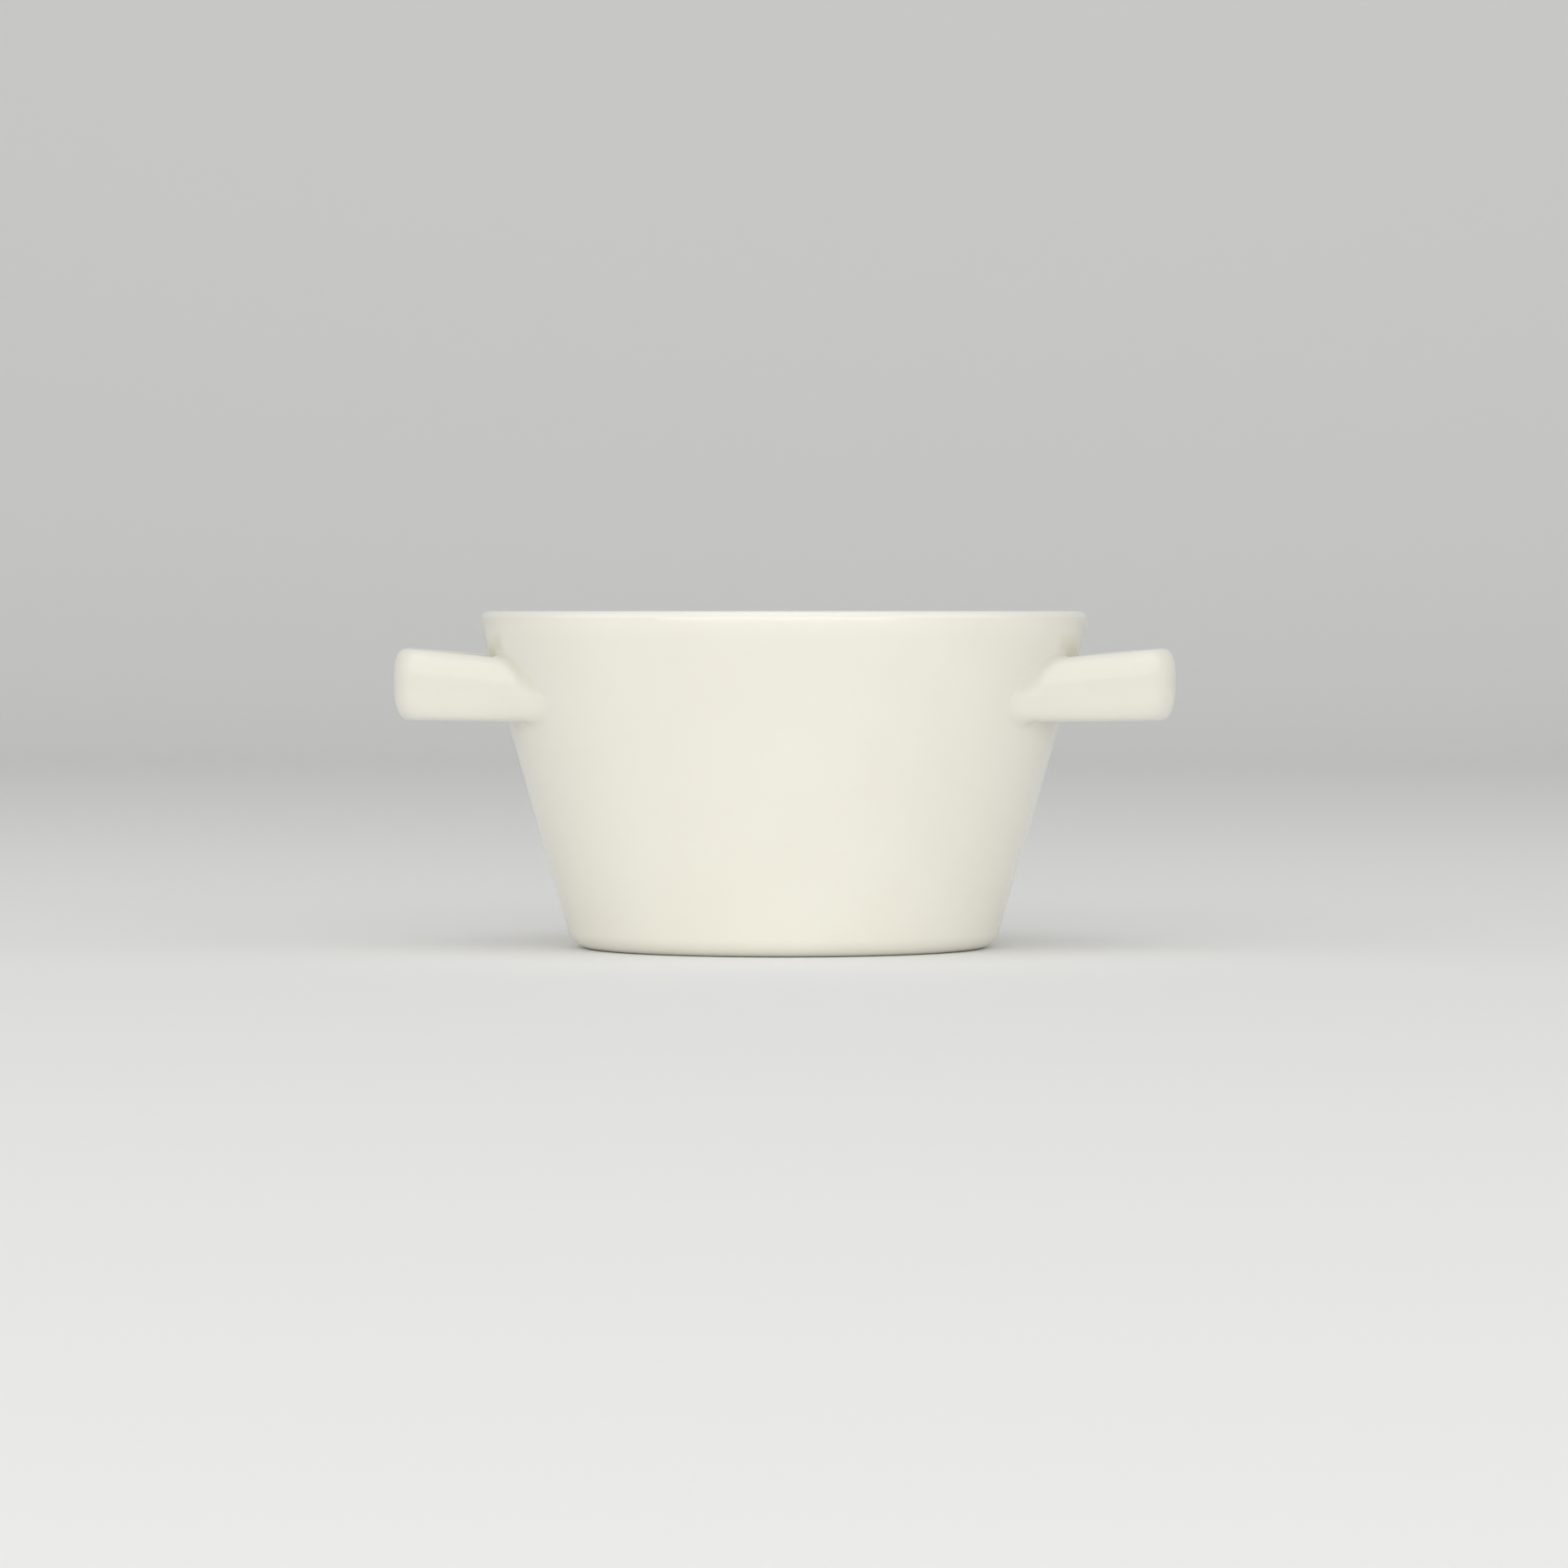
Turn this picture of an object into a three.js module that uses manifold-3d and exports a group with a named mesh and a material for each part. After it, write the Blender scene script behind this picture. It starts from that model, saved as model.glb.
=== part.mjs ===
// A two-handled soup cup in cream glazed stoneware: a jiggered conical body, two cast loop
// handles, and the thin beds of slip that lute each handle's two ends to the wall.
// Millimetres, +Z up, handles along X, origin on the table under the cup's axis.

import * as THREE from "three";
import { mergeVertices } from "three/addons/utils/BufferGeometryUtils.js";
import Module from "manifold-3d";

// Driving dimensions of the body (millimetres, degrees)
const RIM_DIAMETER = 120;
const CUP_HEIGHT = 66.7;
const WALL_LEAN = 16;
const WALL_THICKNESS = 3.6;
const FLOOR_THICKNESS = 4;
const LIP_ROUND = 1.6;
const LIP_BAND = 1.8;
const BASE_ROUND = 4.6;
const INNER_CORNER = 10;
const FOOT_WIDTH = 4;
const FOOT_RECESS = 1.6;

// Driving dimensions of a handle
const HANDLE_REACH = 17.6;
const HANDLE_DROP = 7.4;
const HANDLE_HEIGHT = 14.2;
const STRAP_THICKNESS = 6;
const CREST_SLOPE = 4.9;
const NOSE_RADIUS = 12.5;
const ROOT_SPREAD = 66;
const FLARE_RADIUS = 40;
const ROOT_SOFTENING = 30;
const ROOT_THINNING = 0.45;
const THINNING_LENGTH = 12;
const NOSE_LENGTH = 14;

// The strap's section is a superellipse: square above and round below at the nose, the other way
// about along the strands, with its widest line lower at the roots
const NOSE_UPPER_EXPONENT = 2.9;
const NOSE_LOWER_EXPONENT = 2.2;
const STRAND_UPPER_EXPONENT = 2.2;
const STRAND_LOWER_EXPONENT = 3.6;
const NOSE_WIDEST = 0.5;
const ROOT_WIDEST = 0.42;

// Luting slip between a handle's ends and the wall
const SLIP_THICKNESS = 0.6;
const SLIP_SPREAD = 0.35;
const JOINT_GAP = 0.3;

// Fineness of the meshes
const TURN_STEPS = 72;
const ARC_STEPS = 3;
const SECTION_SIDES = 20;
const FLARE_STEPS = 12;
const STRAND_STEPS = 4;
const NOSE_STEPS = 8;

const radians = THREE.MathUtils.degToRad;
const lean = radians(WALL_LEAN);
const rimRadius = RIM_DIAMETER / 2;
const bandBottom = CUP_HEIGHT - LIP_ROUND - LIP_BAND;
const handleTop = CUP_HEIGHT - HANDLE_DROP;
const handleBottom = handleTop - HANDLE_HEIGHT;

function wallRadius(z) {
  return rimRadius - Math.tan(lean) * (bandBottom - z);
}

const wasm = await Module();
wasm.setup();

function toSolid(geometry) {
  const bare = geometry.clone();
  bare.deleteAttribute("normal");
  bare.deleteAttribute("uv");
  const merged = mergeVertices(bare, 1e-4);
  return new wasm.Manifold(new wasm.Mesh({
    numProp: 3,
    vertProperties: Float32Array.from(merged.attributes.position.array),
    triVerts: Uint32Array.from(merged.index.array),
  }));
}

function toGeometry(solid) {
  const mesh = solid.getMesh();
  const geometry = new THREE.BufferGeometry();
  geometry.setAttribute("position", new THREE.BufferAttribute(mesh.vertProperties, 3));
  geometry.setIndex(new THREE.BufferAttribute(mesh.triVerts, 1));
  geometry.computeVertexNormals();
  return geometry;
}

function turned(profile) {
  const geometry = new THREE.LatheGeometry(profile, TURN_STEPS);
  geometry.rotateX(Math.PI / 2);
  return geometry;
}

// The body, as one turned profile from the underside's centre, round the foot ring, up the
// outside, over the lip and down the inside to the floor's centre.
function bodyGeometry() {
  const footRadius = wallRadius(BASE_ROUND * (1 - Math.sin(lean))) - BASE_ROUND * Math.cos(lean);
  const footInner = footRadius - FOOT_WIDTH;
  const lipCentre = rimRadius - LIP_ROUND;
  const bendRadius = LIP_BAND / Math.tan(lean / 2);
  const innerTop = wallRadius(CUP_HEIGHT) - WALL_THICKNESS;
  const lipInnerRound = (lipCentre - innerTop) / (1 / Math.cos(lean) - Math.tan(lean));
  const floorTop = FOOT_RECESS + FLOOR_THICKNESS;
  const cornerHeight = floorTop + INNER_CORNER;
  const cornerCentre = wallRadius(cornerHeight) - WALL_THICKNESS - INNER_CORNER / Math.cos(lean);

  const profile = new THREE.Path();
  profile.moveTo(0, FOOT_RECESS);
  profile.lineTo(footInner - FOOT_RECESS, FOOT_RECESS);
  profile.lineTo(footInner, 0);
  profile.absarc(footRadius, BASE_ROUND, BASE_ROUND, -Math.PI / 2, -lean, false);
  profile.absarc(rimRadius - bendRadius, CUP_HEIGHT - LIP_ROUND, bendRadius, -lean, 0, false);
  profile.absarc(lipCentre, CUP_HEIGHT - LIP_ROUND, LIP_ROUND, 0, Math.PI / 2, false);
  profile.absarc(lipCentre, CUP_HEIGHT - lipInnerRound, lipInnerRound,
    Math.PI / 2, Math.PI - lean, false);
  profile.absarc(cornerCentre, cornerHeight, INNER_CORNER, -lean, -Math.PI / 2, true);
  profile.lineTo(0, floorTop);
  return turned(profile.getPoints(ARC_STEPS));
}

// A ring that follows the outer wall at handle height, between two distances from it.
function wallRing(near, far) {
  const low = handleBottom - HANDLE_HEIGHT;
  const high = CUP_HEIGHT;
  const corner = (offset, z) => new THREE.Vector2(wallRadius(z) + offset / Math.cos(lean), z);
  return turned([
    corner(near, low),
    corner(far, low),
    corner(far, high),
    corner(near, high),
    corner(near, low),
  ]);
}

// Stations along the strap in plan, from the rear root to the nose: a flare that comes away
// from the wall, a straight strand, and half of the nose's arc.
function strapStations() {
  const half = STRAP_THICKNESS / 2;
  const noseCentre = rimRadius + HANDLE_REACH - NOSE_RADIUS;
  const rootWall = wallRadius(handleBottom + ROOT_WIDEST * HANDLE_HEIGHT);
  const rootY = ROOT_SPREAD / 2;
  const rootX = Math.sqrt(rootWall ** 2 - rootY ** 2);
  const toRoot = Math.hypot(rootX - noseCentre, rootY);
  const strand = Math.atan2(rootY, rootX - noseCentre) - Math.acos(NOSE_RADIUS / toRoot);
  const strandDistance = noseCentre * Math.cos(strand) + NOSE_RADIUS;
  const reach = rootWall + FLARE_RADIUS;
  const rootAngle = strand - Math.acos((strandDistance + FLARE_RADIUS) / reach);
  const flareX = reach * Math.cos(rootAngle);
  const flareY = reach * Math.sin(rootAngle);
  const stations = [];
  for (let i = 0; i <= FLARE_STEPS; i += 1) {
    const angle = THREE.MathUtils.lerp(rootAngle, strand, i / FLARE_STEPS);
    const radius = FLARE_RADIUS + half;
    stations.push({
      x: flareX - radius * Math.cos(angle),
      y: flareY - radius * Math.sin(angle),
      angle,
    });
  }
  const bend = NOSE_RADIUS - half;
  const flareEnd = stations.at(-1);
  for (let i = 1; i < STRAND_STEPS; i += 1) {
    const share = i / STRAND_STEPS;
    stations.push({
      x: THREE.MathUtils.lerp(flareEnd.x, noseCentre + bend * Math.cos(strand), share),
      y: THREE.MathUtils.lerp(flareEnd.y, bend * Math.sin(strand), share),
      angle: strand,
    });
  }
  for (let i = 0; i <= NOSE_STEPS; i += 1) {
    const angle = strand * (1 - i / NOSE_STEPS);
    stations.push({ x: noseCentre + bend * Math.cos(angle), y: bend * Math.sin(angle), angle });
  }
  let length = 0;
  stations.forEach((station, i) => {
    const before = stations[Math.max(i - 1, 0)];
    length += Math.hypot(station.x - before.x, station.y - before.y);
    station.fromRoot = length;
  });
  return stations.map((station) => ({
    ...station,
    firmness: THREE.MathUtils.smoothstep(station.fromRoot, 0, ROOT_SOFTENING),
    thinning: ROOT_THINNING * (1 - THREE.MathUtils.smoothstep(station.fromRoot, 0, THINNING_LENGTH)),
    strandShare: THREE.MathUtils.smoothstep(length - station.fromRoot, 0, NOSE_LENGTH),
  }));
}

// One section of the strap at a station, with the clay grown by a margin all round. Towards a
// root its lower half comes to lean as the wall does.
function section({ x, y, angle, firmness, thinning, strandShare }, margin) {
  const upper = THREE.MathUtils.lerp(NOSE_UPPER_EXPONENT, STRAND_UPPER_EXPONENT, strandShare);
  const lower = THREE.MathUtils.lerp(NOSE_LOWER_EXPONENT, STRAND_LOWER_EXPONENT, strandShare);
  const widest = THREE.MathUtils.lerp(ROOT_WIDEST, NOSE_WIDEST, firmness);
  const noseX = rimRadius + HANDLE_REACH - STRAP_THICKNESS / 2;
  const top = handleTop - Math.tan(radians(CREST_SLOPE)) * (noseX - x);
  const middle = handleBottom + widest * (top - handleBottom);
  const half = STRAP_THICKNESS / 2 - thinning + margin;
  const points = [];
  for (let i = 0; i < SECTION_SIDES; i += 1) {
    const turn = (2 * Math.PI * i) / SECTION_SIDES;
    const above = Math.sin(turn) > 0;
    const power = 2 / (above ? upper : lower);
    const reach = (above ? top - middle : middle - handleBottom) + margin;
    const rise = reach * Math.sign(Math.sin(turn)) * Math.abs(Math.sin(turn)) ** power;
    const width = half * Math.sign(Math.cos(turn)) * Math.abs(Math.cos(turn)) ** power;
    const across = width + Math.tan(lean) * (1 - firmness) * Math.min(rise, 0);
    points.push(new THREE.Vector3(
      x + across * Math.cos(angle),
      y + across * Math.sin(angle),
      middle + rise,
    ));
  }
  return points;
}

// A closed solid through a row of sections with equal numbers of points.
function loft(sections) {
  const points = sections.flat();
  const last = sections.length - 1;
  const index = [];
  for (let i = 0; i < last; i += 1) {
    for (let j = 0; j < SECTION_SIDES; j += 1) {
      const next = (j + 1) % SECTION_SIDES;
      const a = i * SECTION_SIDES + j;
      const b = i * SECTION_SIDES + next;
      index.push(a, b, a + SECTION_SIDES, b, b + SECTION_SIDES, a + SECTION_SIDES);
    }
  }
  for (let j = 1; j < SECTION_SIDES - 1; j += 1) {
    const end = last * SECTION_SIDES;
    index.push(0, j + 1, j);
    index.push(end, end + j, end + j + 1);
  }
  const geometry = new THREE.BufferGeometry().setFromPoints(points);
  geometry.setIndex(index);
  return geometry;
}

function mirrored(stations) {
  return stations.map((station) => ({ ...station, y: -station.y, angle: -station.angle }));
}

// The right handle: the whole loop from one root over the nose to the other, with its ends cut
// to the wall behind the slip.
function handleGeometry() {
  const near = strapStations();
  const far = mirrored(near).reverse().slice(1);
  const loop = toSolid(loft([...near, ...far].map((station) => section(station, 0))));
  const seat = toSolid(wallRing(-WALL_THICKNESS * 3, JOINT_GAP + SLIP_THICKNESS + JOINT_GAP));
  return toGeometry(loop.subtract(seat));
}

// The slip under one end of the right handle, squeezed out a little all round the clay.
function slipGeometry(atRear) {
  const near = strapStations().slice(0, FLARE_STEPS + STRAND_STEPS);
  const stations = atRear ? near : mirrored(near).reverse();
  const root = toSolid(loft(stations.map((station) => section(station, SLIP_SPREAD))));
  const bed = toSolid(wallRing(JOINT_GAP, JOINT_GAP + SLIP_THICKNESS));
  return toGeometry(root.intersect(bed));
}

const glaze = new THREE.MeshStandardMaterial({ color: 0xeeece1, roughness: 0.12, metalness: 0 });
const firedSlip = new THREE.MeshStandardMaterial({ color: 0xe8e3d2, roughness: 0.6, metalness: 0 });

const cup = new THREE.Group();

function addPiece(parent, name, geometry, material) {
  const piece = new THREE.Mesh(geometry, material);
  piece.name = name;
  parent.add(piece);
}

addPiece(cup, "cup_body", bodyGeometry(), glaze);

const handle = handleGeometry();
const rearSlip = slipGeometry(true);
const frontSlip = slipGeometry(false);
const ears = [
  { side: "right", turn: 0, rearEnd: "rear", frontEnd: "front" },
  { side: "left", turn: Math.PI, rearEnd: "front", frontEnd: "rear" },
];
for (const { side, turn, rearEnd, frontEnd } of ears) {
  const ear = new THREE.Group();
  ear.rotation.z = turn;
  cup.add(ear);
  addPiece(ear, `${side}_handle`, handle, glaze);
  addPiece(ear, `${side}_${rearEnd}_slip`, rearSlip, firedSlip);
  addPiece(ear, `${side}_${frontEnd}_slip`, frontSlip, firedSlip);
}

export default cup;
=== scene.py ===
# A two-handled soup cup in cream glazed stoneware, on a pale studio floor.
# Every size is in metres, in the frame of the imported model.

import math

import bpy
import numpy as np
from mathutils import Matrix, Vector


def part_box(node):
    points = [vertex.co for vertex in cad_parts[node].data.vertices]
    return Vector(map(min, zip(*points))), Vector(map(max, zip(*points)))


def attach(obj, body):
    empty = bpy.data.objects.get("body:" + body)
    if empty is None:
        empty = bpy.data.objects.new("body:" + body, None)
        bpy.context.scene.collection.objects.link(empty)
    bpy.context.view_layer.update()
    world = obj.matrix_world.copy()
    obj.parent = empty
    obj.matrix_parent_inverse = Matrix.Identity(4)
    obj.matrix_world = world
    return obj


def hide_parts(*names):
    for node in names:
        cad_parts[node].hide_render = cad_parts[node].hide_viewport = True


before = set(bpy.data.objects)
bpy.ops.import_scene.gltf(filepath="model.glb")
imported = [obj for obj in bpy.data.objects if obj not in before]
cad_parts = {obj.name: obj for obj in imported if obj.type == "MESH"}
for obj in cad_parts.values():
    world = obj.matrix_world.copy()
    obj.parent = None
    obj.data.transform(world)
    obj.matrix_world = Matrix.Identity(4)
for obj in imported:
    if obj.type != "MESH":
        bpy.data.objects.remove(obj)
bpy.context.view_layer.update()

scene = bpy.context.scene

# The body is stoneware, jiggered on a plaster mould as one round piece: foot ring, floor,
# conical wall and lip. It is glazed all over, and the foot ring is wiped bare so that it
# doesn't stick to the kiln shelf.
body_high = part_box("cup_body")[1]
rim_radius = body_high.y
cup_height = body_high.z
wall_lean = math.radians(16)
wall_thickness = 0.0036
floor_thickness = 0.004
lip_round = 0.0016
lip_band = 0.0018
base_round = 0.0046
inner_corner = 0.010
foot_width = 0.004
foot_recess = 0.0016
recess_corner = 0.0009
foot_edge = 0.0004
glaze_line = math.radians(-80)
glaze_edge = 0.02
lip_thinning = 1.6
body_turns = 320


def wall_radius(z):
    """Outer radius of the conical wall at a height."""
    return rim_radius - math.tan(wall_lean) * (cup_height - lip_round - lip_band - z)


def arc(centre, radius, start, end, steps):
    """Points (radius from the axis, height) along a circular arc, angles in radians."""
    angles = np.linspace(start, end, steps)
    return [(centre[0] + radius * math.cos(a), centre[1] + radius * math.sin(a)) for a in angles]


def line(start, end, steps):
    """Points along a straight stretch, without its two ends."""
    shares = np.linspace(0, 1, steps + 1)[1:-1]
    return [tuple((1 - t) * np.array(start) + t * np.array(end)) for t in shares]


foot_radius = wall_radius(base_round * (1 - math.sin(wall_lean))) - base_round * math.cos(wall_lean)
foot_inner = foot_radius - foot_width
recess_radius = foot_inner - foot_recess - recess_corner
floor_top = foot_recess + floor_thickness
lip_centre = rim_radius - lip_round
bend_radius = lip_band / math.tan(wall_lean / 2)
inner_top = wall_radius(cup_height) - wall_thickness
lip_inner_round = (lip_centre - inner_top) / (1 / math.cos(wall_lean) - math.tan(wall_lean))
corner_height = floor_top + inner_corner
corner_centre = wall_radius(corner_height) - wall_thickness - inner_corner / math.cos(wall_lean)
right_angle = math.pi / 2

underside = [(0.0, foot_recess)]
underside += line((0, foot_recess), (recess_radius, foot_recess), steps=16)
underside += arc((recess_radius, foot_recess - recess_corner), recess_corner,
                 right_angle, right_angle / 2, steps=8)
foot_ring = arc((foot_inner + foot_edge, foot_edge), foot_edge,
                -1.5 * right_angle, -right_angle, steps=7)
foot_ring += line((foot_inner + foot_edge, 0), (foot_radius, 0), steps=8)
foot_ring += arc((foot_radius, base_round), base_round, -right_angle, glaze_line, steps=6)
outside = arc((foot_radius, base_round), base_round, glaze_line + glaze_edge, -wall_lean, steps=22)
lip_bend = arc((rim_radius - bend_radius, cup_height - lip_round), bend_radius,
               -wall_lean, 0, steps=14)
outside += line(outside[-1], lip_bend[0], steps=48) + lip_bend[:-1]
lip = arc((lip_centre, cup_height - lip_round), lip_round, 0, right_angle, steps=18)
lip += arc((lip_centre, cup_height - lip_inner_round), lip_inner_round,
           right_angle, math.pi - wall_lean, steps=18)[1:]
inner_start = (corner_centre + inner_corner * math.cos(wall_lean),
               corner_height - inner_corner * math.sin(wall_lean))
inside = line(lip[-1], inner_start, steps=44)
inside += arc((corner_centre, corner_height), inner_corner, -wall_lean, -right_angle, steps=30)
inside += line((corner_centre, floor_top), (0, floor_top), steps=20)
inside += [(0.0, floor_top)]
profile = underside + foot_ring + outside + lip + inside
bare_rows = range(len(underside), len(underside) + len(foot_ring))
lip_start = len(underside) + len(foot_ring) + len(outside)


def add_mesh(name, points, faces, thinness_and_shade):
    """A smooth mesh object, with its glaze at each point from 1, run thin, to -1, darkened with
    painted shade.
    """
    mesh = bpy.data.meshes.new(name)
    mesh.from_pydata([tuple(p) for p in points], [], faces)
    mesh.attributes.new("glaze_thinness_and_shade", "FLOAT", "POINT")
    mesh.attributes["glaze_thinness_and_shade"].data.foreach_set("value", np.asarray(thinness_and_shade, np.float32))
    mesh.shade_smooth()
    piece = bpy.data.objects.new(name, mesh)
    scene.collection.objects.link(piece)
    return piece


def turned_body():
    """Turns the profile about the axis, with one point at each pole."""
    points = [(0.0, 0.0, profile[0][1])]
    thinness_and_shade = [0.0]
    rows = [[0]]
    for row, (radius, height) in enumerate(profile[1:-1], start=1):
        on_lip = max(0.0, 1 - abs((row - lip_start) / len(lip) * 2 - 1))
        rows.append([len(points) + k for k in range(body_turns)])
        for k in range(body_turns):
            angle = 2 * math.pi * k / body_turns
            points.append((radius * math.cos(angle), radius * math.sin(angle), height))
            thinness_and_shade.append(min(1.0, lip_thinning * on_lip))
    rows.append([len(points)])
    points.append((0.0, 0.0, profile[-1][1]))
    thinness_and_shade.append(0.0)
    faces = []
    bare = []
    for row in range(len(rows) - 1):
        low, high = rows[row], rows[row + 1]
        for k in range(body_turns):
            n = (k + 1) % body_turns
            if len(low) == 1:
                faces.append((low[0], high[n], high[k]))
            elif len(high) == 1:
                faces.append((low[k], low[n], high[0]))
            else:
                faces.append((low[k], low[n], high[n], high[k]))
            bare.append(int(row in bare_rows and row + 1 in bare_rows))
    piece = add_mesh("cup_body_clay", points, faces, thinness_and_shade)
    piece.data.polygons.foreach_set("material_index", bare)
    return piece


def cream_glaze():
    """Opaque cream gloss glaze: it varies a little in broad patches, breaks paler where it runs
    thin over an edge, is given painted shade along the upper creases of the handle joints, and
    has the faint ripple of fired glass."""
    material = bpy.data.materials.new("cream_glaze")
    material.use_nodes = True
    nodes, links = material.node_tree.nodes, material.node_tree.links
    shader = nodes["Principled BSDF"]
    shader.inputs["IOR"].default_value = 1.52
    place = nodes.new("ShaderNodeTexCoord")
    glaze_patches_and_crease_shade = nodes.new("ShaderNodeTexNoise")
    glaze_patches_and_crease_shade.inputs["Scale"].default_value = 42
    glaze_patches_and_crease_shade.inputs["Detail"].default_value = 3
    glaze_patches_and_crease_shade.inputs["Roughness"].default_value = 0.55
    links.new(place.outputs["Object"], glaze_patches_and_crease_shade.inputs["Vector"])
    tone = nodes.new("ShaderNodeValToRGB")
    tone.color_ramp.elements[0].position = 0.36
    tone.color_ramp.elements[0].color = (0.812, 0.790, 0.694, 1)
    tone.color_ramp.elements[1].position = 0.66
    tone.color_ramp.elements[1].color = (0.828, 0.808, 0.716, 1)
    links.new(glaze_patches_and_crease_shade.outputs["Fac"], tone.inputs["Fac"])
    thin = nodes.new("ShaderNodeAttribute")
    thin.attribute_name = "glaze_thinness_and_shade"
    paler = nodes.new("ShaderNodeMix")
    paler.data_type = "RGBA"
    paler.inputs["B"].default_value = (0.84, 0.826, 0.765, 1)
    links.new(thin.outputs["Fac"], paler.inputs["Factor"])
    links.new(tone.outputs["Color"], paler.inputs["A"])
    # Painted shade: negative values of the attribute mix the cream towards a darker tone along the
    # upper creases of the handle joints.
    crease_shade_amount = nodes.new("ShaderNodeMath")
    crease_shade_amount.operation = "MULTIPLY"
    crease_shade_amount.use_clamp = True
    crease_shade_amount.inputs[1].default_value = -1
    links.new(thin.outputs["Fac"], crease_shade_amount.inputs[0])
    painted_crease_shade = nodes.new("ShaderNodeMix")
    painted_crease_shade.data_type = "RGBA"
    painted_crease_shade.inputs["B"].default_value = (0.755, 0.732, 0.625, 1)
    links.new(crease_shade_amount.outputs["Value"], painted_crease_shade.inputs["Factor"])
    links.new(paler.outputs["Result"], painted_crease_shade.inputs["A"])
    links.new(painted_crease_shade.outputs["Result"], shader.inputs["Base Color"])
    haze = nodes.new("ShaderNodeTexNoise")
    haze.inputs["Scale"].default_value = 160
    haze.inputs["Detail"].default_value = 2
    links.new(place.outputs["Object"], haze.inputs["Vector"])
    gloss = nodes.new("ShaderNodeMapRange")
    gloss.inputs["To Min"].default_value = 0.07
    gloss.inputs["To Max"].default_value = 0.15
    links.new(haze.outputs["Fac"], gloss.inputs["Value"])
    links.new(gloss.outputs["Result"], shader.inputs["Roughness"])
    ripple = nodes.new("ShaderNodeTexNoise")
    ripple.inputs["Scale"].default_value = 330
    ripple.inputs["Detail"].default_value = 1
    links.new(place.outputs["Object"], ripple.inputs["Vector"])
    relief = nodes.new("ShaderNodeBump")
    relief.inputs["Strength"].default_value = 0.12
    relief.inputs["Distance"].default_value = 0.00004
    links.new(ripple.outputs["Fac"], relief.inputs["Height"])
    links.new(relief.outputs["Normal"], shader.inputs["Normal"])
    return material


def bare_clay():
    """Fired stoneware without glaze: dry, buff, with fine sand in it."""
    material = bpy.data.materials.new("bare_clay")
    material.use_nodes = True
    nodes, links = material.node_tree.nodes, material.node_tree.links
    shader = nodes["Principled BSDF"]
    shader.inputs["Roughness"].default_value = 0.85
    place = nodes.new("ShaderNodeTexCoord")
    sand = nodes.new("ShaderNodeTexNoise")
    sand.inputs["Scale"].default_value = 2600
    sand.inputs["Detail"].default_value = 4
    links.new(place.outputs["Object"], sand.inputs["Vector"])
    tone = nodes.new("ShaderNodeValToRGB")
    tone.color_ramp.elements[0].position = 0.32
    tone.color_ramp.elements[0].color = (0.43, 0.35, 0.25, 1)
    tone.color_ramp.elements[1].position = 0.62
    tone.color_ramp.elements[1].color = (0.62, 0.54, 0.42, 1)
    links.new(sand.outputs["Fac"], tone.inputs["Fac"])
    links.new(tone.outputs["Color"], shader.inputs["Base Color"])
    relief = nodes.new("ShaderNodeBump")
    relief.inputs["Strength"].default_value = 0.5
    relief.inputs["Distance"].default_value = 0.0001
    links.new(sand.outputs["Fac"], relief.inputs["Height"])
    links.new(relief.outputs["Normal"], shader.inputs["Normal"])
    return material


glaze = cream_glaze()
body = turned_body()
body.data.materials.append(glaze)
body.data.materials.append(bare_clay())
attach(body, "root")
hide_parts("cup_body")

# Each handle is a strap of the same clay, cast as a rounded triangle in plan with a flared root at
# either end, and set level on the wall. Its upper shoulder is square at the nose and round along
# the strands, and each root is thinned down on to the wall.
handle_low, handle_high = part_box("right_handle")
nose_x = handle_high.x
handle_top = handle_high.z
handle_bottom = handle_low.z
strap_half = 0.003
crest_slope = math.tan(math.radians(4.9))
nose_radius = 0.0125
root_spread = 0.066
flare_radius = 0.040
root_softening = 0.030
root_thinning = 0.00045
thinning_length = 0.012
nose_upper, nose_lower = 2.9, 2.2
strand_upper, strand_lower = 2.2, 3.6
nose_softening = 0.014
nose_widest, root_widest = 0.5, 0.42
strap_sides = 144
strap_steps = 90
edge_crowding = 0.35
root_depth = 0.0005
edge_sharpness = 8
thin_start = 0.008
thin_span = 0.020
search_start = 0.3
search_steps = 600
halvings = 40

nose_centre = nose_x - nose_radius
root_wall = wall_radius(handle_bottom + root_widest * (handle_top - handle_bottom))
root_y = root_spread / 2
root_x = math.sqrt(root_wall**2 - root_y**2)
strand = math.atan2(root_y, root_x - nose_centre)
strand -= math.acos(nose_radius / math.hypot(root_x - nose_centre, root_y))
strand_distance = nose_centre * math.cos(strand) + nose_radius
flare_reach = root_wall + flare_radius
root_angle = strand - math.acos((strand_distance + flare_radius) / flare_reach)
flare_centre = flare_reach * np.array([math.cos(root_angle), math.sin(root_angle)])
strand_normal = np.array([math.cos(strand), math.sin(strand)])
nose_end = np.array([nose_centre, 0.0]) + (nose_radius - strap_half) * strand_normal
flare_start = flare_centre - (flare_radius + strap_half) * strand_normal
nose_length = (nose_radius - strap_half) * strand
strand_length = float(np.linalg.norm(flare_start - nose_end))
flare_length = (flare_radius + strap_half) * (strand - root_angle)
strap_length = nose_length + strand_length + flare_length


def smooth(value, span):
    """Rises gently from 0 to 1 as value goes from 0 to span."""
    t = np.clip(value / span, 0, 1)
    return t * t * (3 - 2 * t)


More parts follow.
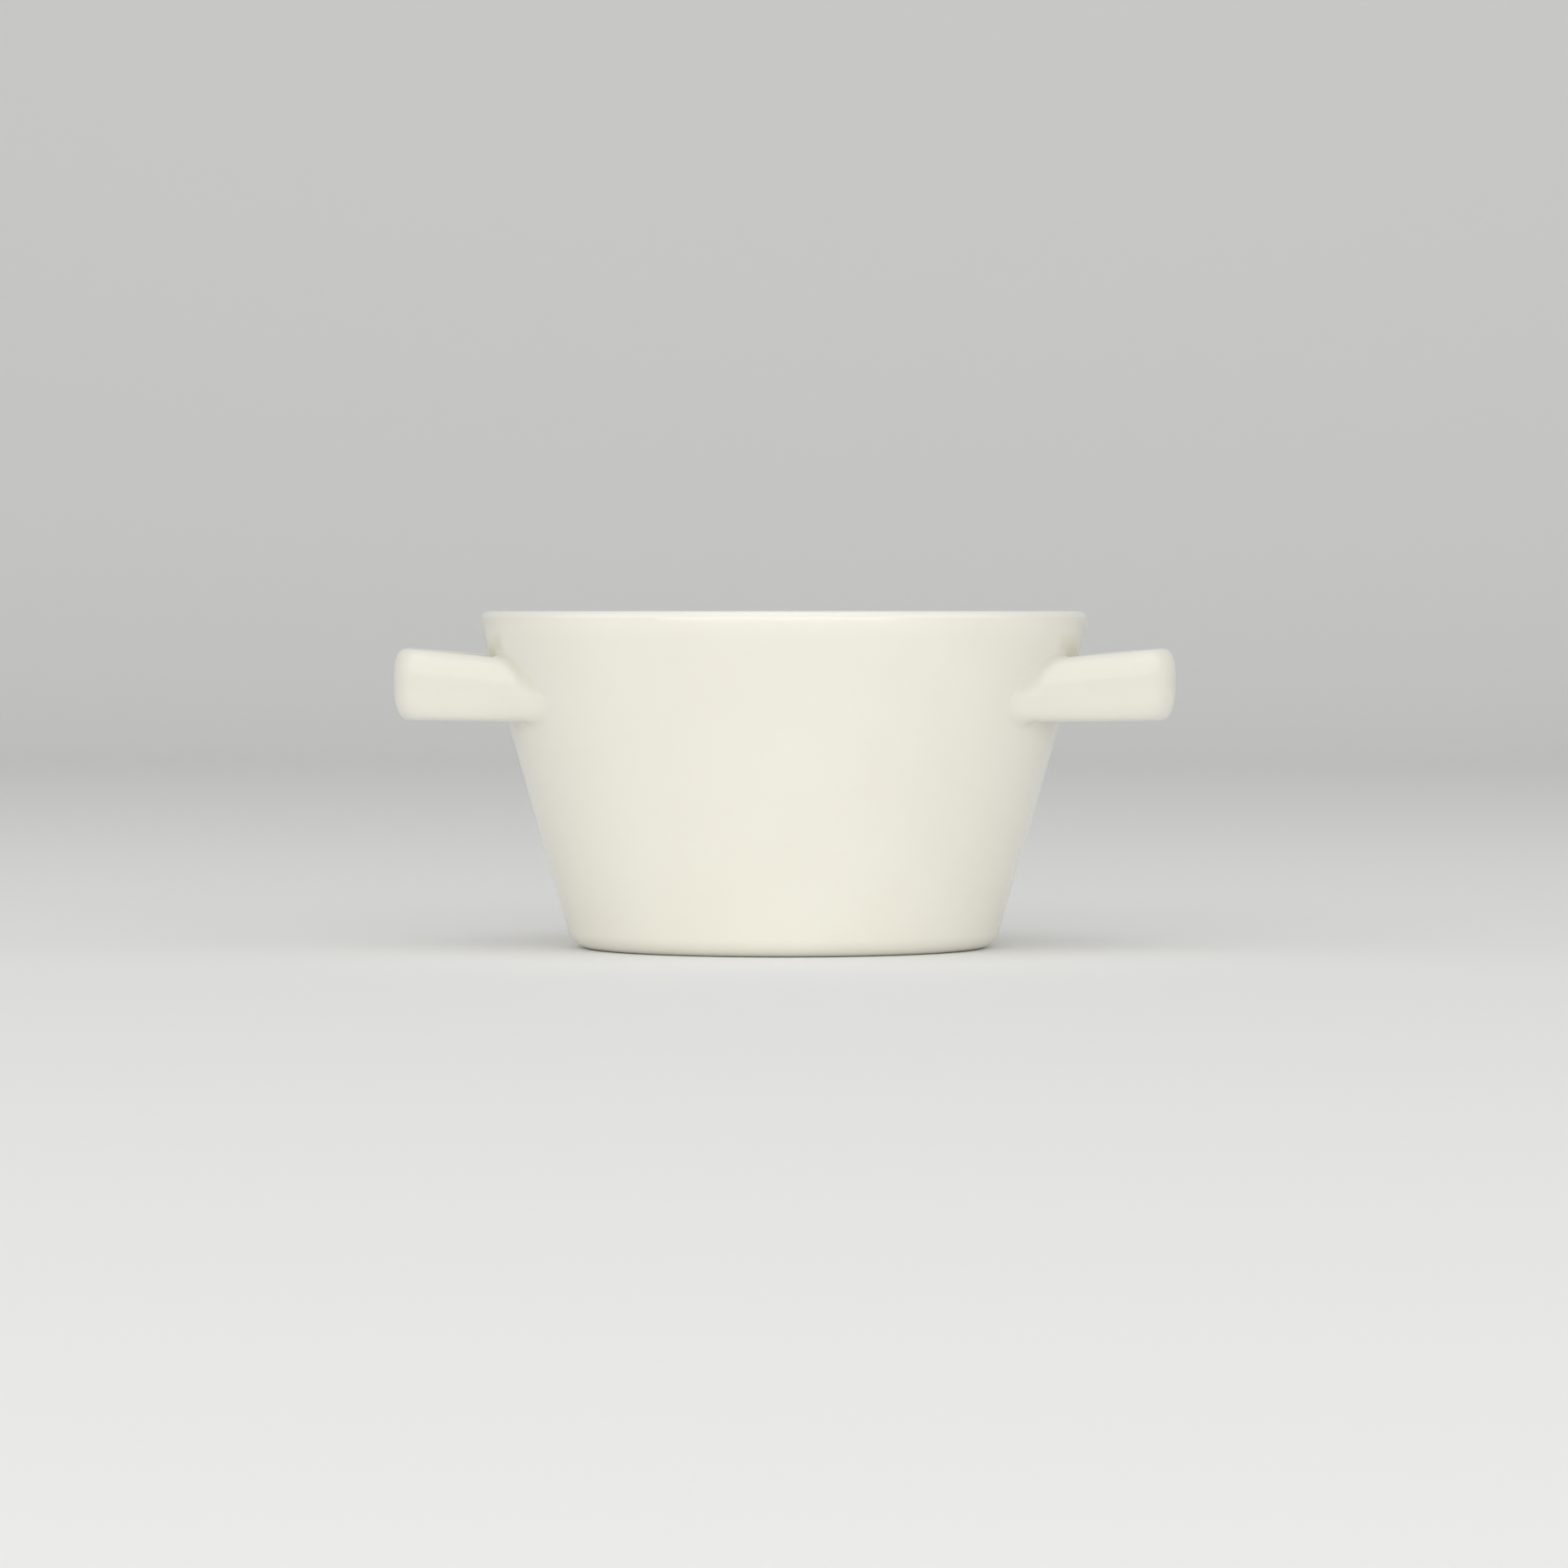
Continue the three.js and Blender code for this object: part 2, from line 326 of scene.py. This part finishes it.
def strap_centre(along):
    """Plan position and outward angle of the strap's middle line, by length from the nose."""
    on_nose = np.minimum(along, nose_length)
    on_strand = np.clip(along - nose_length, 0, strand_length)
    on_flare = np.maximum(along - nose_length - strand_length, 0)
    nose_angle = on_nose / (nose_radius - strap_half)
    flare_angle = strand - on_flare / (flare_radius + strap_half)
    angle = np.where(on_flare > 0, flare_angle, nose_angle)
    x = nose_centre + (nose_radius - strap_half) * np.cos(nose_angle) - on_strand * math.sin(strand)
    y = (nose_radius - strap_half) * np.sin(nose_angle) + on_strand * math.cos(strand)
    x += (flare_radius + strap_half) * (math.cos(strand) - np.cos(flare_angle))
    y += (flare_radius + strap_half) * (math.sin(strand) - np.sin(flare_angle))
    return x, y, angle


def strap_section(along, x, upper):
    """Half thickness, middle height, reach above or below it, squareness and lean of the
    section, by length from the nose."""
    from_root = strap_length - along
    firmness = smooth(from_root, root_softening)
    half = strap_half - root_thinning * (1 - smooth(from_root, thinning_length))
    shoulder = smooth(along, nose_softening)
    exponent = np.where(upper, nose_upper + (strand_upper - nose_upper) * shoulder,
                        nose_lower + (strand_lower - nose_lower) * shoulder)
    top = handle_top - crest_slope * (nose_x - strap_half - x)
    widest = root_widest + (nose_widest - root_widest) * firmness
    middle = handle_bottom + widest * (top - handle_bottom)
    rise = np.where(upper, top - middle, middle - handle_bottom)
    lean = np.where(upper, 0, math.tan(wall_lean) * (1 - firmness))
    return half, middle, rise, exponent, lean


def strap_point(along, turn):
    """A point on the rear half of the right strap's surface: length from the nose, and turn
    about the section from the outer side over the crest."""
    x, y, angle = strap_centre(along)
    half, middle, rise, exponent, lean = strap_section(along, x, np.sin(turn) > 0)
    up = rise * np.sign(np.sin(turn)) * np.abs(np.sin(turn)) ** (2 / exponent)
    across = half * np.sign(np.cos(turn)) * np.abs(np.cos(turn)) ** (2 / exponent) + lean * up
    return np.stack([x + across * np.cos(angle), y + across * np.sin(angle), middle + up], -1)


def above_wall(points):
    """Distance of points from the wall's outer face, negative inside the clay."""
    radius = np.hypot(points[..., 0], points[..., 1])
    return (radius - wall_radius(points[..., 2])) * math.cos(wall_lean)


def length_to_wall(turn, depth):
    """How far along each line of the strap it has sunk to a depth in the wall."""
    steps = np.linspace(search_start * strap_length, strap_length, search_steps)
    heights = above_wall(strap_point(steps[:, None], turn[None, :]))
    first = np.argmax(heights < -depth, axis=0)
    first = np.where(heights[first, np.arange(len(turn))] < -depth, first, len(steps) - 1)
    low, high = steps[first - 1], steps[first]
    for _ in range(halvings):
        middle = (low + high) / 2
        sunk = above_wall(strap_point(middle, turn)) < -depth
        low, high = np.where(sunk, low, middle), np.where(sunk, middle, high)
    return (low + high) / 2


even_turns = np.linspace(0, 2 * math.pi, strap_sides, endpoint=False)
turns = even_turns - edge_crowding * np.sin(2 * even_turns)
root_lengths = length_to_wall(turns, root_depth)
mirror_y = np.array([1.0, -1.0, 1.0])
sides = {"right": np.array([1.0, 1.0, 1.0]), "left": np.array([-1.0, -1.0, 1.0])}


def strap_mesh(name, side):
    """The whole loop from the rear root over the nose to the front root, closed at both ends."""
    shares = np.linspace(1, 0, strap_steps + 1)
    rear = np.array([strap_point(root_lengths * t, turns) for t in shares])
    front = rear[-2::-1] * mirror_y
    rings = np.concatenate([rear, front]) * side
    edge = np.abs(np.sin(turns)) ** edge_sharpness
    from_root = [strap_length - root_lengths * t for t in shares]
    rear_thin = [edge * smooth(length - thin_start, thin_span) for length in from_root]
    thinness_and_shade = np.concatenate([rear_thin, rear_thin[-2::-1]]).ravel()
    points = list(rings.reshape(-1, 3))
    faces = []
    for i in range(len(rings) - 1):
        for j in range(strap_sides):
            a = i * strap_sides + j
            b = i * strap_sides + (j + 1) % strap_sides
            faces.append((a, b, b + strap_sides, a + strap_sides))
    ends = []
    for ring, order in ((0, 1), (len(rings) - 1, -1)):
        ends.append(len(points))
        points.append(rings[ring].mean(axis=0))
        around = [ring * strap_sides + j for j in range(strap_sides)]
        for j in range(strap_sides):
            pair = (around[j], around[(j + 1) % strap_sides])[::-order]
            faces.append((pair[0], pair[1], ends[-1]))
    thinness_and_shade = np.concatenate([thinness_and_shade, np.zeros(len(ends))])
    return add_mesh(name, points, faces, thinness_and_shade)


for name, side in sides.items():
    handle = strap_mesh(f"{name}_handle_strap", side)
    handle.data.materials.append(glaze)
    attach(handle, "root")
    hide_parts(f"{name}_handle")

# The ends of a handle are scored, coated with slip and pressed on to the leather-hard wall. The
# slip that squeezes out is sponged round into a soft fillet, and the glaze covers it all. Painted
# shade darkens the glaze along the fillet's upper side, where the crease lies in shade.
fillet_height = 0.0018
fillet_reach = 0.012
fillet_steps = 16
root_fade = 0.008
edge_sink = 0.00004
full_sink_softness = 0.0004
least_sink = 0.35
crease_shade_rise = 0.25
trial_steps = 240
first_trial = 0.01
free_share = 0.8
evening = 4

wall_lengths = length_to_wall(turns, 0.0)
joint_line = strap_point(wall_lengths, turns)


def unit(vectors):
    """Vectors scaled to length one."""
    return vectors / np.linalg.norm(vectors, axis=-1, keepdims=True)


def wall_normal(points):
    """Outward normal of the conical wall."""
    radial = unit(points * np.array([1.0, 1.0, 0.0]))
    return radial * math.cos(wall_lean) - np.array([0, 0, math.sin(wall_lean)])


def strap_height(points):
    """Distance of points from the strap's surface, negative inside it."""
    flare_arm = flare_centre - points[..., :2]
    flare_angle = np.arctan2(flare_arm[..., 1], flare_arm[..., 0])
    flare_along = nose_length + strand_length + (strand - flare_angle) * (flare_radius + strap_half)
    from_nose = points[..., :2] - nose_end
    strand_along = nose_length + from_nose @ np.array([-strand_normal[1], strand_normal[0]])
    flared = flare_angle < strand
    along = np.where(flared, flare_along, strand_along)
    across = np.where(flared, flare_radius + strap_half - np.linalg.norm(flare_arm, axis=-1),
                      from_nose @ strand_normal)
    x = strap_centre(along)[0]
    upper = points[..., 2] > strap_section(along, x, True)[1]
    half, middle, rise, power, lean = strap_section(along, x, upper)
    up = points[..., 2] - middle
    level = np.abs((across - lean * up) / half)
    steep = np.abs(up / rise)
    size = np.maximum((level**power + steep**power) ** (1 / power), 1e-6)
    slope = np.hypot((level / size) ** (power - 1) / half, (steep / size) ** (power - 1) / rise)
    past_root = np.maximum(along - strap_length, 0)
    return (size - 1) / slope + past_root**2 / root_fade


def joint_height(points, softness):
    """Distance from the wall and the strap run together with a soft fillet between them."""
    wall, strap = above_wall(points), strap_height(points)
    overlap = np.maximum(softness - np.abs(wall - strap), 0)
    return np.minimum(wall, strap) - overlap**2 / (4 * softness)


def uphill(height, points):
    """Direction in which a distance grows fastest."""
    step = 0.00002
    slopes = [height(points + step * axis) - height(points - step * axis) for axis in np.eye(3)]
    return unit(np.stack(slopes, -1))


def settle(height, points, direction, span):
    """Points moved along a direction, by no more than the span, on to a surface."""
    low, high = np.full(len(points), -span), np.full(len(points), span)
    for _ in range(halvings):
        middle = (low + high) / 2
        inside = height(points + middle[:, None] * direction) < 0
        low, high = np.where(inside, middle, low), np.where(inside, high, middle)
    return points + ((low + high) / 2)[:, None] * direction


def clear_reach(points, direction):
    """How far each point of a closed line can move before it comes near another's way."""
    apart = points[None, :, :] - points[:, None, :]
    ahead = (apart * direction[:, None, :]).sum(axis=-1)
    room = (apart**2).sum(axis=-1) / (2 * np.maximum(ahead, 1e-9))
    np.fill_diagonal(room, fillet_reach)
    return np.minimum(free_share * room.min(axis=1), fillet_reach)[:, None]


def fillet_surface():
    """The bead round the rear root of the right handle: rows of points from the strap to the
    wall and one inside the clay, with their normals and the painted shade that darkens their glaze."""
    round_joint = unit(np.roll(joint_line, -1, axis=0) - np.roll(joint_line, 1, axis=0))
    wall_out = wall_normal(joint_line)
    strap_out = uphill(strap_height, joint_line)
    between = unit(wall_out + strap_out)
    up_strap = unit(np.cross(strap_out, round_joint))
    across_wall = unit(np.cross(round_joint, wall_out))
    shares = np.linspace(first_trial, 1, trial_steps)[:, None, None]
    on_strap = joint_line + shares * up_strap * clear_reach(joint_line, up_strap)
    on_wall = joint_line + shares * across_wall * fillet_reach
    strap_rise = above_wall(on_strap)
    wall_fall = strap_height(on_wall)
    softness = np.minimum(strap_rise.max(axis=0), wall_fall.max(axis=0))
    softness = np.minimum(softness, fillet_height)
    near = range(-evening, evening + 1)
    softness = np.min([np.roll(softness, n) for n in near], axis=0)
    softness = np.mean([np.roll(softness, n) for n in near], axis=0)
    columns = np.arange(strap_sides)
    strap_edge = on_strap[np.argmax(strap_rise >= softness, axis=0), columns]
    wall_edge = on_wall[np.argmax(wall_fall >= softness, axis=0), columns]

    def height(points):
        return joint_height(points, softness)

    # Painted shade: the glaze is darkened along the upper side of each fillet, where the crease is
    # in shade, most where the fillet is fullest.
    glaze_patches_and_crease_shade = softness / fillet_height * smooth(np.sin(turns), crease_shade_rise)
    rows, normals, thinness_and_shade = [], [], []
    for t in np.linspace(0, 1, fillet_steps + 1):
        base = (1 - t) ** 2 * strap_edge + 2 * t * (1 - t) * joint_line + t**2 * wall_edge
        rows.append(settle(height, base, between, 2 * fillet_height))
        normals.append(uphill(height, rows[-1]))
        thinness_and_shade.append(-glaze_patches_and_crease_shade * math.sin(math.pi * t) ** 2)
    sink = edge_sink * np.clip(softness / full_sink_softness, least_sink, 1)[:, None]
    rows[0] = rows[0] - sink * normals[0]
    rows[-1] = rows[-1] - sink * normals[-1]
    rows.append(joint_line - root_depth * between)
    normals.append(-between)
    thinness_and_shade.append(np.zeros(strap_sides))
    return rows, normals, thinness_and_shade


fillet_rows, fillet_normals, fillet_painted_shade = fillet_surface()


def joint_fillet(name, side):
    """The bead turned or mirrored to one of the four roots."""
    points = np.concatenate(fillet_rows) * side
    normals = np.concatenate(fillet_normals) * side
    mirrored = side.prod() < 0
    faces = []
    for i in range(len(fillet_rows)):
        for j in range(strap_sides):
            n = (j + 1) % strap_sides
            k = (i + 1) % len(fillet_rows)
            face = (i * strap_sides + j, i * strap_sides + n,
                    k * strap_sides + n, k * strap_sides + j)
            faces.append(face if mirrored else face[::-1])
    piece = add_mesh(name, points, faces, np.concatenate(fillet_painted_shade))
    piece.data.normals_split_custom_set_from_vertices(normals.tolist())
    return piece


roots = {"right_rear": (1, 1), "right_front": (1, -1), "left_front": (-1, -1), "left_rear": (-1, 1)}
for root, (across, back) in roots.items():
    joint = joint_fillet(f"{root}_joint", np.array([across, back, 1.0]))
    joint.data.materials.append(glaze)
    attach(joint, "root")
    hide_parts(f"{root}_slip")

# The studio: a pale seamless floor that curves up behind the cup, a wide bank of soft light
# above the front, weaker ones on either side and overhead, and even light from the room.
sweep_front, sweep_back, sweep_side, sweep_round, sweep_top = -3.0, 1.6, 3.2, 0.9, 2.6
sweep_steps = 24


def seamless_floor():
    """A floor sheet that bends up into the backdrop on a round sweep."""
    outline = [(sweep_front, 0.0), (sweep_back, 0.0)]
    for k in range(1, sweep_steps + 1):
        angle = right_angle * k / sweep_steps
        outline.append((sweep_back + sweep_round * math.sin(angle),
                        sweep_round * (1 - math.cos(angle))))
    outline.append((sweep_back + sweep_round, sweep_top))
    points = [(x, y, z) for y, z in outline for x in (-sweep_side, sweep_side)]
    faces = [(2 * i, 2 * i + 1, 2 * i + 3, 2 * i + 2) for i in range(len(outline) - 1)]
    mesh = bpy.data.meshes.new("studio_floor")
    mesh.from_pydata(points, [], faces)
    mesh.shade_smooth()
    floor = bpy.data.objects.new("studio_floor", mesh)
    scene.collection.objects.link(floor)
    material = bpy.data.materials.new("pale_paper")
    material.use_nodes = True
    shader = material.node_tree.nodes["Principled BSDF"]
    shader.inputs["Base Color"].default_value = (0.86, 0.86, 0.85, 1)
    shader.inputs["Roughness"].default_value = 0.7
    shader.inputs["Specular IOR Level"].default_value = 0.2
    mesh.materials.append(material)
    return floor


seamless_floor()


def soft_light(name, place, width, height, power):
    """An oblong area light, turned to the middle of the cup."""
    lamp = bpy.data.lights.new(name, "AREA")
    lamp.shape = "RECTANGLE"
    lamp.size = width
    lamp.size_y = height
    lamp.energy = power
    light = bpy.data.objects.new(name, lamp)
    light.location = place
    light.rotation_mode = "QUATERNION"
    to_cup = Vector((0, 0, cup_height / 2)) - Vector(place)
    light.rotation_quaternion = to_cup.to_track_quat("-Z", "Y")
    scene.collection.objects.link(light)


soft_light("front_light", place=(0.0, -2.0, 0.62), width=4.2, height=1.4, power=32)
soft_light("left_light", place=(-1.6, -0.45, 1.05), width=1.6, height=1.6, power=4.6)
soft_light("right_light", place=(1.6, -0.45, 1.05), width=1.6, height=1.6, power=4.6)
soft_light("top_light", place=(0.0, -0.3, 1.6), width=1.2, height=1.2, power=4)
world = bpy.data.worlds.new("studio_air")
world.use_nodes = True
room = world.node_tree.nodes["Background"]
room.inputs["Color"].default_value = (1, 1, 1, 1)
room.inputs["Strength"].default_value = 0.44
scene.world = world

# The photograph was taken level with the rim, from about eleven rim diameters away, with the
# right handle turned a little towards the lens.
image_size = 1920
rim_row = 748
rim_width_pixels = 741
camera_distance = 1.312
camera_turn = math.radians(2.3)
focal_pixels = camera_distance * rim_width_pixels / (2 * rim_radius)
lens = bpy.data.cameras.new("photo_camera")
lens.sensor_width = 36
lens.lens = lens.sensor_width * focal_pixels / image_size
lens.clip_start = 0.05
camera = bpy.data.objects.new("photo_camera", lens)
camera.location = (camera_distance * math.sin(camera_turn),
                   -camera_distance * math.cos(camera_turn), cup_height)
downward = math.atan((image_size / 2 - rim_row) / focal_pixels)
camera.rotation_euler = (right_angle - downward, 0, camera_turn)
scene.collection.objects.link(camera)
scene.camera = camera
scene.view_settings.view_transform = "Standard"
